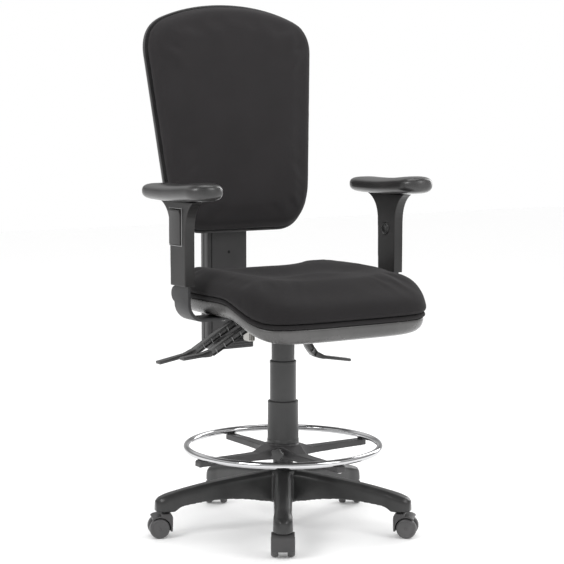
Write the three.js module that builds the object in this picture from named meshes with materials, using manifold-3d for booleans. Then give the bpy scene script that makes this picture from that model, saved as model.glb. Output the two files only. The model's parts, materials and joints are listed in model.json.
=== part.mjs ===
// Drafting chair: high gas-lift office chair with a chrome foot ring, a padded seat and back,
// height-adjustable armrests and a five-star base on twin-wheel casters.
// Millimetres, +Z up. The chair faces -Y, the sitter's left is +X, the floor is z = 0.
import * as THREE from 'three';
import { mergeVertices } from 'three/addons/utils/BufferGeometryUtils.js';
import Module from 'manifold-3d';

const wasm = await Module();
wasm.setup();

// Driving dimensions
const GAP = 0.35; // clearance between neighbouring pieces
const COLUMN_Y = -11; // the column stands here, so the footprint is centred on the origin
const BASE_TURN = -33; // degrees; the heading of the first base leg, 0 being straight ahead
const LEGS = 5;
const STEM_REACH = 299; // column axis to caster stem
const WHEEL_R = 25;
const WHEEL_W = 18;
const CASTER_W = 57; // over both wheels
const CASTER_TRAIL = 19; // stem axis to wheel axle
const CASTER_HEADINGS = [180, 78, 180, 180, -78]; // where each caster trails, from BASE_TURN
const TUBE_R = 25; // outer tube of the gas lift
const TUBE_TOP = 400;
const ROD_R = 5;
const CYL_R = 14; // sliding cylinder of the gas lift
const HUB_TOP = 149;
const RING_R = 239.5; // foot ring, column axis to tube centreline
const RING_TUBE_R = 8.25;
const RING_Z = 206;
const RING_HUB_R = 39.5;
const RING_HUB_Z = [186, 216];
const SPOKE_TURNS = [-56, 34, 124, 214]; // from BASE_TURN
const KNOB_TURN = -11;
const LOWER_COVER_TOP = 320;
const MIDDLE_COVER = [285, 420];
const UPPER_COVER = [350, 481.6];
const MECH_Z = [500, 536];
const MECH_HALF_X = 48;
const SOCKET_R = 24;
const TILT_PIVOT = [-60, 522]; // y, z of the seat-tilt pin
const RECLINE_PIVOT = [84, 530]; // y, z of the back-angle pin
const PLATE_Z = [546, 549];
const LUG_X = [51.5, 54.5];
const LEVER_THICK = 15;
const RECLINE_LEVER_Y = 96; // the back-angle lever, behind the seat-height one
const SEAT_HALF_X = 255;
const SEAT_Y = [-327, 186];
const SEAT_TOP = 641;
const SEAT_RIM = 588; // lower edge of the upholstery at the sides and rear
const SEAT_DROP = 46; // the rim dips this much at the front
const SHELL_H = 38;
const ARM_X = 302;
const ARM_Y = -32;
const SLEEVE = [26, 72]; // section, x by y
const SLEEVE_Z = [626, 824];
const POST = [8, 64]; // section, x by y
const POST_TOP = 780;
const BUTTON = [ARM_Y + 4, 736]; // y, z of its centre
const PAD_Y = [-171, 109];
const PAD_HALF_X = 46;
const UPRIGHT_HALF_X = 60;
const UPRIGHT_Y = [264, 298];
const UPRIGHT_Z = [420, 900];
const FOOT_Z = [420, 441]; // forward foot of the upright
const BACK_RECLINE = 7; // degrees
const SHELL_DEPTH = 24;
const BACK_PIVOT = [215, 860]; // y, z of the back's own origin
const BACK_V = [-138, 444]; // bottom and top of the back along its slope

const BLACK_NYLON = { color: 0x2b2a2b, roughness: 0.55, metalness: 0 };
const SATIN_BLACK = { color: 0x333233, roughness: 0.45, metalness: 0 };
const SOFT_BLACK = { color: 0x1c1b1c, roughness: 0.3, metalness: 0 };
const GREY_SHELL = { color: 0x5c5b5c, roughness: 0.4, metalness: 0 };
const CHARCOAL_CLOTH = { color: 0x2c2a2b, roughness: 0.95, metalness: 0 };
const CHROME = { color: 0xd8d8da, roughness: 0.08, metalness: 1 };
const ZINC = { color: 0xa9a8a3, roughness: 0.35, metalness: 1 };
const BLACK_STEEL = { color: 0x202021, roughness: 0.4, metalness: 0.3 };

const chair = new THREE.Group();
chair.position.y = COLUMN_Y;
chair.name = 'chair';

const radians = THREE.MathUtils.degToRad;

// Merges the corners that faces share and turns every face outwards.
function sealed(geometry) {
  geometry.deleteAttribute('normal');
  geometry.deleteAttribute('uv');
  const merged = mergeVertices(geometry, 0.0005);
  const points = merged.attributes.position;
  const index = merged.index;
  const [a, b, c] = [new THREE.Vector3(), new THREE.Vector3(), new THREE.Vector3()];
  let volume = 0;
  for (let i = 0; i < index.count; i += 3) {
    a.fromBufferAttribute(points, index.getX(i));
    b.fromBufferAttribute(points, index.getX(i + 1));
    c.fromBufferAttribute(points, index.getX(i + 2));
    volume += a.dot(b.cross(c));
  }
  if (volume < 0) {
    for (let i = 0; i < index.count; i += 3) {
      const first = index.getX(i);
      index.setX(i, index.getX(i + 2));
      index.setX(i + 2, first);
    }
  }
  return merged;
}

function toSolid(geometry) {
  const { attributes, index } = sealed(geometry);
  const vertProperties = new Float32Array(attributes.position.array);
  const triVerts = new Uint32Array(index.array);
  return new wasm.Manifold(new wasm.Mesh({ numProp: 3, vertProperties, triVerts }));
}

function toGeometry(solid) {
  const mesh = solid.getMesh();
  const geometry = new THREE.BufferGeometry();
  const points = new Float32Array(mesh.vertProperties);
  geometry.setAttribute('position', new THREE.BufferAttribute(points, 3));
  geometry.setIndex(new THREE.BufferAttribute(new Uint32Array(mesh.triVerts), 1));
  return geometry;
}

function joined(...geometries) {
  return toGeometry(geometries.map(toSolid).reduce((whole, next) => whole.add(next)));
}

function cut(geometry, ...tools) {
  return toGeometry(tools.map(toSolid).reduce((rest, tool) => rest.subtract(tool), toSolid(geometry)));
}

function overlap(first, second) {
  return toGeometry(toSolid(first).intersect(toSolid(second)));
}

function box(x, y, z) {
  const geometry = new THREE.BoxGeometry(x[1] - x[0], y[1] - y[0], z[1] - z[0]);
  return geometry.translate((x[0] + x[1]) / 2, (y[0] + y[1]) / 2, (z[0] + z[1]) / 2);
}

// Turns a profile of [radius, height] pairs about the Z axis.
function turned(profile, segments = 32) {
  const points = profile.map(([r, z]) => new THREE.Vector2(r, z));
  return new THREE.LatheGeometry(points, segments).rotateX(Math.PI / 2);
}

// A hollow round sleeve: the profile runs up the outside and back down the bore.
function tube(outer, bore, z, segments = 32) {
  const [low, high] = z;
  return turned([[bore, low], [outer, low], [outer, high], [bore, high], [bore, low]], segments);
}

function rod(radius, z, segments = 24) {
  return turned([[0, z[0]], [radius, z[0]], [radius, z[1]], [0, z[1]]], segments);
}

// A round bar along X, through y and z.
function crossRod(radius, x, y, z, segments = 20) {
  return rod(radius, x, segments).rotateY(Math.PI / 2).translate(0, y, z);
}

function shapeOf(points) {
  return new THREE.Shape(points.map(([u, v]) => new THREE.Vector2(u, v)));
}

function slab(shape, depth) {
  return new THREE.ExtrudeGeometry(shape, { depth, bevelEnabled: false, curveSegments: 8 });
}

// Pushes a plan outline (x, y) up from one height to another.
function upright(shape, z) {
  return slab(shape, z[1] - z[0]).translate(0, 0, z[0]);
}

// Pushes an outline drawn in (x, z) along Y.
function alongY(shape, y) {
  return slab(shape, y[1] - y[0]).rotateX(Math.PI / 2).translate(0, y[1], 0);
}

// Pushes an outline drawn in (y, z) along X.
function alongX(shape, x) {
  const geometry = slab(shape, x[1] - x[0]);
  const turn = new THREE.Matrix4().makeBasis(
    new THREE.Vector3(0, 1, 0), new THREE.Vector3(0, 0, 1), new THREE.Vector3(1, 0, 0),
  );
  return geometry.applyMatrix4(turn).translate(x[0], 0, 0);
}

// The outline of a strip of even thickness whose middle follows the given points.
function stripOutline(path, thickness) {
  const side = (sign) => path.map((point, i) => {
    const before = path[Math.max(i - 1, 0)];
    const after = path[Math.min(i + 1, path.length - 1)];
    const run = [after[0] - before[0], after[1] - before[1]];
    const length = Math.hypot(...run);
    const shift = (sign * thickness) / 2 / length;
    return [point[0] - run[1] * shift, point[1] + run[0] * shift];
  });
  return shapeOf([...side(1), ...side(-1).reverse()]);
}

// Points of a quarter bend between two directions, both ends included.
function bend(centre, radius, from, to, steps = 6) {
  return Array.from({ length: steps + 1 }, (_, i) => {
    const angle = radians(from + ((to - from) * i) / steps);
    return [centre[0] + radius * Math.cos(angle), centre[1] + radius * Math.sin(angle)];
  });
}

// Skins a stack of rings that all have the same number of points and closes both ends with a fan.
function loft(rings, startCentre, endCentre) {
  const count = rings[0].length;
  const positions = [...rings.flat(2), ...startCentre, ...endCentre];
  const first = rings.length * count;
  const faces = [];
  for (let i = 0; i < count; i += 1) {
    const next = (i + 1) % count;
    for (let ring = 0; ring < rings.length - 1; ring += 1) {
      const [low, high] = [ring * count, (ring + 1) * count];
      faces.push(low + i, low + next, high + next, low + i, high + next, high + i);
    }
    const last = (rings.length - 1) * count;
    faces.push(first, next, i, first + 1, last + i, last + next);
  }
  const geometry = new THREE.BufferGeometry();
  geometry.setAttribute('position', new THREE.Float32BufferAttribute(positions, 3));
  geometry.setIndex(faces);
  return geometry;
}

function node(parent, name, geometry, look) {
  const mesh = new THREE.Mesh(sealed(geometry), new THREE.MeshStandardMaterial(look));
  mesh.name = name;
  parent.add(mesh);
  return mesh;
}

// A group turned about the column so that its own -Y points along the heading.
function turnedGroup(degrees) {
  const group = new THREE.Group();
  group.rotation.z = radians(degrees);
  chair.add(group);
  return group;
}

// Five-star base: arched legs with a boss at each end, open along the underside.
function legGeometry() {
  const side = new THREE.Shape();
  side.moveTo(8, 148);
  side.lineTo(40, 147);
  side.quadraticCurveTo(210, 130, 300, 105);
  side.lineTo(325, 93);
  side.lineTo(322, 66);
  side.lineTo(316, 63);
  side.lineTo(280, 63);
  side.quadraticCurveTo(274, 72, 262, 75);
  side.quadraticCurveTo(150, 95, 60, 74);
  side.lineTo(8, 72);
  const flank = alongX(side, [-30, 30]).scale(1, -1, 1);
  const plan = shapeOf([[-23, -8], [-23, -60], [-21, -300], [-16, -326], [16, -326], [21, -300], [23, -60], [23, -8]]);
  const channel = shapeOf([[-17, -60], [-15, -270], [15, -270], [17, -60]]);
  return cut(overlap(flank, upright(plan, [60, 150])), upright(channel, [60, 96]));
}

function baseGeometry() {
  const hub = rod(37, [68, HUB_TOP], 40);
  const legs = Array.from({ length: LEGS }, (_, i) => legGeometry().rotateZ((i * 2 * Math.PI) / LEGS));
  const bores = Array.from({ length: LEGS }, (_, i) => (
    rod(5.9, [55, 95], 14).translate(0, -STEM_REACH, 0).rotateZ((i * 2 * Math.PI) / LEGS)
  ));
  return cut(joined(hub, ...legs), rod(TUBE_R + GAP, [50, 160], 40), ...bores);
}

const base = turnedGroup(BASE_TURN);
node(base, 'star_base', baseGeometry(), BLACK_NYLON);

// Gas lift: outer tube in the base, a rod that turns on the bearing at its foot, and the
// cylinder that slides over the rod.
const standTube = turned([
  [ROD_R + 1, 64], [TUBE_R, 64], [TUBE_R, TUBE_TOP], [CYL_R + 0.6, TUBE_TOP],
  [CYL_R + 0.6, 340], [22, 336], [22, 70], [ROD_R + 1, 70], [ROD_R + 1, 64],
]);
node(chair, 'gas_lift_tube', standTube, SATIN_BLACK);

const pistonRod = turned([
  [0, 60], [ROD_R, 60], [ROD_R, 74], [15, 74], [15, 82], [ROD_R, 82],
  [ROD_R, 348], [11, 348], [11, 358], [0, 358],
], 24);
node(chair, 'gas_lift_rod', pistonRod, CHROME);

const gasCylinder = turned([
  [ROD_R + 1, 190], [CYL_R, 190], [CYL_R, 534], [0, 534], [0, 526], [12, 526], [12, 198],
  [ROD_R + 1, 198], [ROD_R + 1, 190],
], 28);
node(chair, 'gas_lift_cylinder', gasCylinder, SATIN_BLACK);

const lowerCover = turned([
  [35.5, 216.4], [RING_HUB_R, 216.4], [37.8, LOWER_COVER_TOP - 3], [37.2, LOWER_COVER_TOP],
  [33.2, LOWER_COVER_TOP], [33.2, LOWER_COVER_TOP - 3], [35.5, LOWER_COVER_TOP - 7], [35.5, 216.4],
]);
node(chair, 'column_cover_lower', lowerCover, SATIN_BLACK);
node(chair, 'column_cover_middle', tube(32.6, 29.6, MIDDLE_COVER), SATIN_BLACK);
node(chair, 'column_cover_upper', tube(28.6, 26.2, UPPER_COVER), SATIN_BLACK);

// Foot ring: a hub that clamps the tube, four flat spokes and the chromed ring they carry.
function spokeBar() {
  const side = shapeOf([
    [-248, 182], [-60, 180], [60, 180], [248, 182], [248, 194], [244, 197.4], [80, 197.4],
    [40, 212], [-40, 212], [-80, 197.4], [-244, 197.4], [-248, 194],
  ]);
  const plan = new THREE.Shape();
  plan.moveTo(12, -250);
  plan.lineTo(14, -110);
  plan.quadraticCurveTo(17, -60, 32, -32);
  plan.lineTo(32, 32);
  plan.quadraticCurveTo(17, 60, 14, 110);
  plan.lineTo(12, 250);
  plan.lineTo(-12, 250);
  plan.lineTo(-14, 110);
  plan.quadraticCurveTo(-17, 60, -32, 32);
  plan.lineTo(-32, -32);
  plan.quadraticCurveTo(-17, -60, -14, -110);
  plan.lineTo(-12, -250);
  return overlap(alongX(side, [-60, 60]), upright(plan, [170, 220]));
}

function spiderGeometry() {
  const bars = SPOKE_TURNS.slice(0, 2).map((turn) => spokeBar().rotateZ(radians(turn)));
  const hub = rod(RING_HUB_R, RING_HUB_Z);
  const stud = crossRod(4.5, [-90, 0], 0, 198).rotateZ(Math.PI / 2 + radians(KNOB_TURN));
  return cut(joined(hub, ...bars), rod(TUBE_R + GAP, [150, 250], 40), stud);
}

// A five-lobed knob on a threaded stud that presses on the tube.
function knobGeometry() {
  const lobes = Array.from({ length: 40 }, (_, i) => {
    const angle = (i * 2 * Math.PI) / 40;
    const reach = 14.5 + 1.8 * Math.cos(5 * angle);
    return [reach * Math.cos(angle), reach * Math.sin(angle)];
  });
  const grip = upright(shapeOf(lobes), [62, 80]);
  return joined(grip, rod(4, [27, 70], 16)).rotateX(Math.PI / 2).translate(0, 0, 198);
}

node(base, 'foot_ring_spider', spiderGeometry(), BLACK_NYLON);
const ring = new THREE.TorusGeometry(RING_R, RING_TUBE_R, 10, 60).translate(0, 0, RING_Z);
node(base, 'foot_ring', ring, CHROME);
const knob = turnedGroup(BASE_TURN + KNOB_TURN);
node(knob, 'foot_ring_knob', knobGeometry(), BLACK_NYLON);

// Twin-wheel caster, trailing along its own -Y with the stem on its Z axis.
function casterHood() {
  const side = new THREE.Shape();
  side.moveTo(12, 17);
  side.lineTo(13, 50);
  side.quadraticCurveTo(12, 61, 4, 61);
  side.lineTo(-14, 61);
  side.absarc(-CASTER_TRAIL, WHEEL_R, 31, radians(80), radians(125), false);
  side.lineTo(-CASTER_TRAIL - 10, 17);
  const half = CASTER_W / 2 - 1;
  const wells = [-1, 1].map((hand) => {
    const span = hand < 0 ? [-half - 2, -half + WHEEL_W - 0.5] : [half - WHEEL_W + 0.5, half + 2];
    return crossRod(WHEEL_R + 1.8, span, -CASTER_TRAIL, WHEEL_R, 24);
  });
  const axleBore = crossRod(3.4, [-40, 40], -CASTER_TRAIL, WHEEL_R);
  return cut(alongX(side, [-half, half]), ...wells, axleBore, rod(5.5 + GAP, [44, 70], 14));
}

function wheelGeometry(hand) {
  const outer = CASTER_W / 2;
  const inner = outer - WHEEL_W;
  const wheel = turned([
    [3.35, inner], [23, inner], [WHEEL_R, inner + 2], [WHEEL_R, outer - 3], [22.5, outer],
    [0, outer - 1], [0, outer - 3], [3.35, outer - 3], [3.35, inner],
  ], 24);
  return wheel.rotateY((hand * Math.PI) / 2).translate(0, -CASTER_TRAIL, WHEEL_R);
}

const stemProfile = [[0, 44.5], [5.5, 44.5], [5.5, 61.4], [9, 61.4], [9, 62.6], [5.5, 62.6], [5.5, 90], [0, 90]];

for (let i = 0; i < LEGS; i += 1) {
  const leg = turnedGroup(BASE_TURN + (i * 360) / LEGS);
  const caster = new THREE.Group();
  caster.position.y = -STEM_REACH;
  caster.rotation.z = radians(CASTER_HEADINGS[i] - (i * 360) / LEGS);
  leg.add(caster);
  const name = `caster_${i + 1}`;
  node(caster, `${name}_hood`, casterHood(), BLACK_NYLON);
  node(caster, `${name}_stem`, turned(stemProfile, 14), ZINC);
  const axle = crossRod(3, [-CASTER_W / 2 + 3.4, CASTER_W / 2 - 3.4], -CASTER_TRAIL, WHEEL_R, 12);
  node(caster, `${name}_axle`, axle, ZINC);
  node(caster, `${name}_wheel_left`, wheelGeometry(-1), BLACK_NYLON);
  node(caster, `${name}_wheel_right`, wheelGeometry(1), BLACK_NYLON);
}

// Seat mechanism: the housing on top of the gas lift, with the pins the seat and back turn on.
function mechanismGeometry() {
  const side = shapeOf([
    [-100, 508], [-88, MECH_Z[0]], [60, MECH_Z[0]], [64, 506], [64, 520], [0, 530],
    [-60, MECH_Z[1]], [-92, MECH_Z[1]], [-100, 528],
  ]);
  const housing = alongX(side, [-MECH_HALF_X, MECH_HALF_X]);
  const socket = rod(SOCKET_R, [482, 515], 32);
  const pinHole = crossRod(5.4, [-80, 80], ...TILT_PIVOT);
  return cut(joined(housing, socket), rod(CYL_R + GAP, [470, 560], 28), pinHole);
}
node(chair, 'mechanism_housing', mechanismGeometry(), ZINC);
node(chair, 'seat_tilt_pin', crossRod(5, [-59, 59], ...TILT_PIVOT), ZINC);

// Levers: a ribbed channel arm that drops from the housing and ends in a flat paddle.
function leverGeometry(path, y, rootSpan) {
  const arm = alongY(stripOutline(path, LEVER_THICK), y);
  return joined(arm, crossRod(7, rootSpan, (y[0] + y[1]) / 2, path[0][1]));
}

const longPath = [[-60, 519], [-90, 505], [-150, 472], [-196, 446], [-216, 440], [-300, 426]];
const midPath = [[-60, 512], [-90, 501], [-150, 469], [-188, 449], [-208, 446], [-270, 441]];
const shortPath = [[59, 508], [70, 485], [80, 450], [98, 428], [120, 418], [206, 403]];
node(chair, 'lever_seat_height', leverGeometry(midPath, [22, 44], [-64, -51]), BLACK_NYLON);
node(chair, 'lever_seat_tilt', leverGeometry(shortPath, [-2, 20], [51, 64]), BLACK_NYLON);

// Steel seat plate with a lug on each side of the housing for both pins.
function seatPlateGeometry() {
  const plate = box([-95, 95], [-100, 110], PLATE_Z);
  const [inner, outer] = LUG_X;
  const lug = shapeOf([[-72, PLATE_Z[0] + 1], [-72, 516], [-66, 511], [-54, 511], [-40, 530], [60, 530],
    [74, 518], [94, 518], [98, 524], [98, PLATE_Z[0] + 1]]);
  const lugs = [alongX(lug, [inner, outer]), alongX(lug, [-outer, -inner])];
  const holes = [crossRod(5 + GAP, [-80, 80], ...TILT_PIVOT), crossRod(5 + GAP, [-80, 80], ...RECLINE_PIVOT)];
  return cut(joined(plate, ...lugs), ...holes);
}
node(chair, 'seat_plate', seatPlateGeometry(), BLACK_STEEL);

// Seat: rounded outline whose lower edge dips towards the front.
function seatRing(inset, height, count = 48) {
  const centre = (SEAT_Y[0] + SEAT_Y[1]) / 2;
  const half = (SEAT_Y[1] - SEAT_Y[0]) / 2;
  return Array.from({ length: count }, (_, i) => {
    const angle = (i * 2 * Math.PI) / count;
    const round = (v) => Math.sign(v) * Math.abs(v) ** 0.42;
    const x = round(Math.cos(angle)) * (SEAT_HALF_X - inset);
    const y = centre + round(Math.sin(angle)) * (half - inset);
    return [x, y, height(y)];
  });
}

function seatRim(y) {
  return SEAT_RIM - SEAT_DROP * THREE.MathUtils.smoothstep(-y, 110, 290);
}

function seatCrown(y) {
  return SEAT_TOP - 34 * THREE.MathUtils.smoothstep(-y, 200, 330);
}

function seatMix(share) {
  return (y) => seatRim(y) * (1 - share) + seatCrown(y) * share;
}

const seatMiddle = (SEAT_Y[0] + SEAT_Y[1]) / 2;
const cushionRings = [[148, 0], [10, 0], [2, 0.1], [0, 0.45], [10, 0.8], [36, 0.98], [90, 0.95]];
const seatCushion = loft(
  cushionRings.map(([inset, share]) => seatRing(inset, seatMix(share))),
  [0, seatMiddle, SEAT_RIM], [0, seatMiddle, SEAT_TOP - 18],
);
node(chair, 'seat_cushion', seatCushion, CHARCOAL_CLOTH);

const shellFloor = SEAT_RIM - SHELL_H;
const shellRings = [[40, -SHELL_H], [15, -26], [8, -10], [10, -GAP * 3], [30, -9], [148, -14]];
const seatShell = loft(
  [seatRing(160, () => shellFloor), ...shellRings.map(([inset, drop]) => seatRing(inset, (y) => seatRim(y) + drop))],
  [0, seatMiddle, shellFloor], [0, seatMiddle, SEAT_RIM - 14],
);
node(chair, 'seat_shell', seatShell, GREY_SHELL);

// Back bracket: a steel bar from the recline pin, back under the seat and up inside the upright.
function backBracketGeometry() {
  const arm = [[84, 530], [118, 512], [150, 502], [250, 502]];
  const riser = [[246, 502], ...bend([262, 521], 19, -75, 0, 4), [281, 880]];
  const knuckle = crossRod(11, [-32, 51], ...RECLINE_PIVOT, 28);
  const bars = [alongX(stripOutline(arm, 7), [-30, 30]), alongX(stripOutline(riser, 7), [-25, 25])];
  return cut(joined(...bars, knuckle), crossRod(5.4, [-80, 80], ...RECLINE_PIVOT));
}

// Hollow plastic upright over the riser, grooved down its front face beside one edge.
function uprightCoverGeometry() {
  const width = [-UPRIGHT_HALF_X, UPRIGHT_HALF_X];
  const outer = joined(box(width, UPRIGHT_Y, UPRIGHT_Z), box(width, [UPRIGHT_Y[0] - 32, UPRIGHT_Y[0] + 4], FOOT_Z));
  const riserSlot = box([-25.4, 25.4], [276.8, 285.2], [UPRIGHT_Z[0] - 5, 881]);
  const armSlot = box([-30.4, 30.4], [UPRIGHT_Y[0] - 5, 285.2], [FOOT_Z[1] + 8, 530]);
  const grooves = [-48, -38].map((x) => box([x, x + 4], [UPRIGHT_Y[0] - 5, UPRIGHT_Y[0] + 1.5], [450, 895]));
  return cut(outer, riserSlot, armSlot, ...grooves);
}

const frictionPack = cut(
  box([-51.1, -33], [74, 106], [460, 545]), crossRod(5 + GAP, [-80, 0], ...RECLINE_PIVOT),
);
node(chair, 'recline_friction_pack', frictionPack, ZINC);
node(chair, 'recline_pin', crossRod(5, [-59, 59], ...RECLINE_PIVOT), ZINC);
node(chair, 'back_bracket', backBracketGeometry(), BLACK_STEEL);
node(chair, 'back_upright', uprightCoverGeometry(), BLACK_NYLON);
const reclineLever = new THREE.Group();
reclineLever.position.y = RECLINE_LEVER_Y;
chair.add(reclineLever);
node(reclineLever, 'lever_back_angle', leverGeometry(longPath, [-11, 11], [-66, -57]), BLACK_NYLON);

// Backrest, drawn in its own leaning frame: x across, y through, z up the slope.
const [bottomV, topV] = BACK_V;

function backOutline(inset) {
  const half = new THREE.Path();
  half.moveTo(0, bottomV + inset);
  half.lineTo(112, bottomV + inset);
  half.quadraticCurveTo(196 - inset, bottomV + inset, 214 - inset, bottomV + 112);
  half.lineTo(246 - inset, 312);
  half.quadraticCurveTo(252 - inset, 385 - inset, 190, 410 - inset);
  half.quadraticCurveTo(104, topV - inset, 0, topV - inset);
  const right = half.getPoints(6);
  const left = right.slice(1, -1).reverse();
  return [...right.map((p) => [p.x, p.y]), ...left.map((p) => [-p.x, p.y])];
}

function backLoft(rings) {
  const middle = (bottomV + topV) / 2;
  const skins = rings.map(([inset, y]) => backOutline(inset).map(([x, v]) => [x, y, v]));
  return loft(skins, [0, rings[0][1], middle], [0, rings.at(-1)[1], middle]);
}

const back = new THREE.Group();
back.position.set(0, ...BACK_PIVOT);
back.rotation.x = radians(-BACK_RECLINE);
chair.add(back);
const backCushion = backLoft([[34, -46], [17, -39], [9, -24], [9, -8], [11, 0]]);
node(back, 'back_cushion', backCushion, CHARCOAL_CLOTH);
const backShell = backLoft([[5, GAP * 2], [3, 3], [7, 14], [22, SHELL_DEPTH]]);
node(back, 'back_shell', backShell, SATIN_BLACK);

// Ratchet housing on the rear of the shell, wrapped round the upright it climbs.
function carriageGeometry() {
  const lean = Math.tan(radians(BACK_RECLINE));
  const front = (z) => BACK_PIVOT[0] + (z - BACK_PIVOT[1]) * lean + SHELL_DEPTH / Math.cos(radians(BACK_RECLINE)) + GAP;
  const [low, high] = [738, 896];
  const side = shapeOf([[front(low), low], [302, low], [307, low + 8], [307, high - 8], [302, high], [front(high), high]]);
  const channel = box([-UPRIGHT_HALF_X - 0.5, UPRIGHT_HALF_X + 0.5], [UPRIGHT_Y[0] - 0.5, UPRIGHT_Y[1] + 0.5], [700, 950]);
  return cut(alongX(side, [-72, 72]), channel);
}
node(chair, 'back_height_carriage', carriageGeometry(), SATIN_BLACK);

// Arms, each drawn for the sitter's left and mirrored for the right. A rounded ear on the post's
// rear edge stops the sleeve at its lowest setting.
function armPostGeometry() {
  const path = [[168, 544.5], [262, 544.5], ...bend([262, 584.5], 40, -75, 0, 6), [ARM_X, POST_TOP]];
  const bar = alongY(stripOutline(path, POST[0]), [ARM_Y - POST[1] / 2, ARM_Y + POST[1] / 2]);
  const stop = crossRod(19, [ARM_X - POST[0] / 2, ARM_X + POST[0] / 2], ARM_Y + POST[1] / 2 - 4, 605, 28);
  return joined(bar, stop);
}

function armSleeveGeometry() {
  const [low, high] = SLEEVE_Z;
  const half = SLEEVE[1] / 2;
  const side = new THREE.Shape();
  side.moveTo(ARM_Y - half + 1, low);
  side.lineTo(ARM_Y + half - 2, low);
  side.lineTo(ARM_Y + half, high - 70);
  side.quadraticCurveTo(ARM_Y + half, high - 16, ARM_Y + half + 46, high);
  side.lineTo(ARM_Y - half - 36, high);
  side.quadraticCurveTo(ARM_Y - half, high - 18, ARM_Y - half, high - 72);
  const outer = alongX(side, [ARM_X - SLEEVE[0] / 2, ARM_X + SLEEVE[0] / 2]);
  const [wall, slack] = [POST[0] / 2 + 0.5, POST[1] / 2 + 0.6];
  const bore = box([ARM_X - wall, ARM_X + wall], [ARM_Y - slack, ARM_Y + slack], [low - 5, high - 5]);
  const well = crossRod(15.6, [ARM_X - 20, ARM_X - 5.6], ...BUTTON, 32);
  const triggerBed = box([ARM_X + 10.5, ARM_X + 20], [ARM_Y - 20, ARM_Y + 34], [722, 808]);
  return cut(outer, bore, well, triggerBed);
}

// A flat rocker plate with a finger lip along its top edge.
function triggerGeometry() {
  const face = ARM_X + 10.5 + GAP;
  const profile = [[face, 723], [face + 6, 723], [face + 6, 794], [face + 9, 800], [face + 9, 806], [face, 806]];
  return alongY(shapeOf(profile), [ARM_Y - 19, ARM_Y + 33]);
}

function buttonGeometry() {
  const profile = [[0, 0], [15, 0], [15, 6], [12.5, 7.4], [6, 6.6], [0, 6.4]];
  return turned(profile, 24).rotateY(-Math.PI / 2).translate(ARM_X - 8.6, ...BUTTON);
}

// Wavy armrest pad: oval sections along Y that dip behind the thick front end and sink to the rear.
function padGeometry() {
  const length = PAD_Y[1] - PAD_Y[0];
  const slices = [0, 0.02, 0.08, 0.2, 0.35, 0.5, 0.65, 0.8, 0.92, 0.98, 1];
  const rings = slices.map((t) => {
    const fromEnd = Math.min(t, 1 - t) * length;
    const taper = Math.sqrt(1 - (1 - Math.min(fromEnd / PAD_HALF_X, 1)) ** 2);
    const halfX = Math.max(PAD_HALF_X * taper, 14);
    const halfZ = (22 - 2 * t) * Math.max(taper, 0.45) ** 0.6;
    const middle = 848 - 5 * t + 2 * Math.cos(2 * Math.PI * (t - 0.08));
    return Array.from({ length: 16 }, (_, i) => {
      const angle = (i * 2 * Math.PI) / 16;
      const squash = (v) => Math.sign(v) * Math.abs(v) ** 0.7;
      return [ARM_X + halfX * squash(Math.cos(angle)), PAD_Y[0] + t * length, middle + halfZ * squash(Math.sin(angle))];
    });
  });
  const pad = loft(rings, [ARM_X, PAD_Y[0], rings[0][0][2]], [ARM_X, PAD_Y[1], rings.at(-1)[0][2]]);
  return cut(pad, box([0, 500], [-400, 400], [800, SLEEVE_Z[1] + GAP]));
}

function mirrored(geometry) {
  return geometry.scale(-1, 1, 1);
}

for (const [side, place] of [['left', (g) => g], ['right', mirrored]]) {
  node(chair, `arm_${side}_post`, place(armPostGeometry()), BLACK_STEEL);
  node(chair, `arm_${side}_sleeve`, place(armSleeveGeometry()), BLACK_NYLON);
  node(chair, `arm_${side}_trigger`, place(triggerGeometry()), BLACK_NYLON);
  node(chair, `arm_${side}_button`, place(buttonGeometry()), BLACK_NYLON);
  node(chair, `arm_${side}_pad`, place(padGeometry()), SOFT_BLACK);
}

export default chair;
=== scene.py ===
import json
import math

import bmesh
import bpy
import numpy as np
from mathutils import Matrix, Vector


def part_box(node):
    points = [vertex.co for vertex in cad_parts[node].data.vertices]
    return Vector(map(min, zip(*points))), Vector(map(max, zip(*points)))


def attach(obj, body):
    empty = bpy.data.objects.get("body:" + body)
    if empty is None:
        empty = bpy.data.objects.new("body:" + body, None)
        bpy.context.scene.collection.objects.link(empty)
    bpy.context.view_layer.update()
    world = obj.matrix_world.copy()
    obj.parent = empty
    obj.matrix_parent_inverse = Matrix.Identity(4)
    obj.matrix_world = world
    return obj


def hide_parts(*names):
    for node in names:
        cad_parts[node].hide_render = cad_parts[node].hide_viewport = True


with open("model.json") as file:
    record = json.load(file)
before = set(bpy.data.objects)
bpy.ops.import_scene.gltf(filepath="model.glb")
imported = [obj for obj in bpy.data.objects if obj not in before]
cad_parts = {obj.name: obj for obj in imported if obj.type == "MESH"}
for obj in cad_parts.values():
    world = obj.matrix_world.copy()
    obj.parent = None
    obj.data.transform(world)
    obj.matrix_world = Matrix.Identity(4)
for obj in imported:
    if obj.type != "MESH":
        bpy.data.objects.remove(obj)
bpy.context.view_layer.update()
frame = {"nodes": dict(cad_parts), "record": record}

# --------------------------------------------------
# Camera, floor and lights. A pale studio sweep under soft boxes, seen from the sitter's right,
# a little above seat height, with a long lens.
# --------------------------------------------------
base_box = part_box("gas_lift_tube")
column = Vector(((base_box[0][0] + base_box[1][0]) / 2, (base_box[0][1] + base_box[1][1]) / 2, 0))
view_turn = math.radians(-33)
across = Vector((math.cos(view_turn), math.sin(view_turn), 0))
away = Vector((-math.sin(view_turn), math.cos(view_turn), 0))

eye_distance, eye_height, look_down = 4.231, 1.071, 0.1076
lens = bpy.data.cameras.new("studio_camera")
lens.lens = 110.6
lens.sensor_width = 36
lens.clip_end = 60
lens.shift_x = -0.0018


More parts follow.
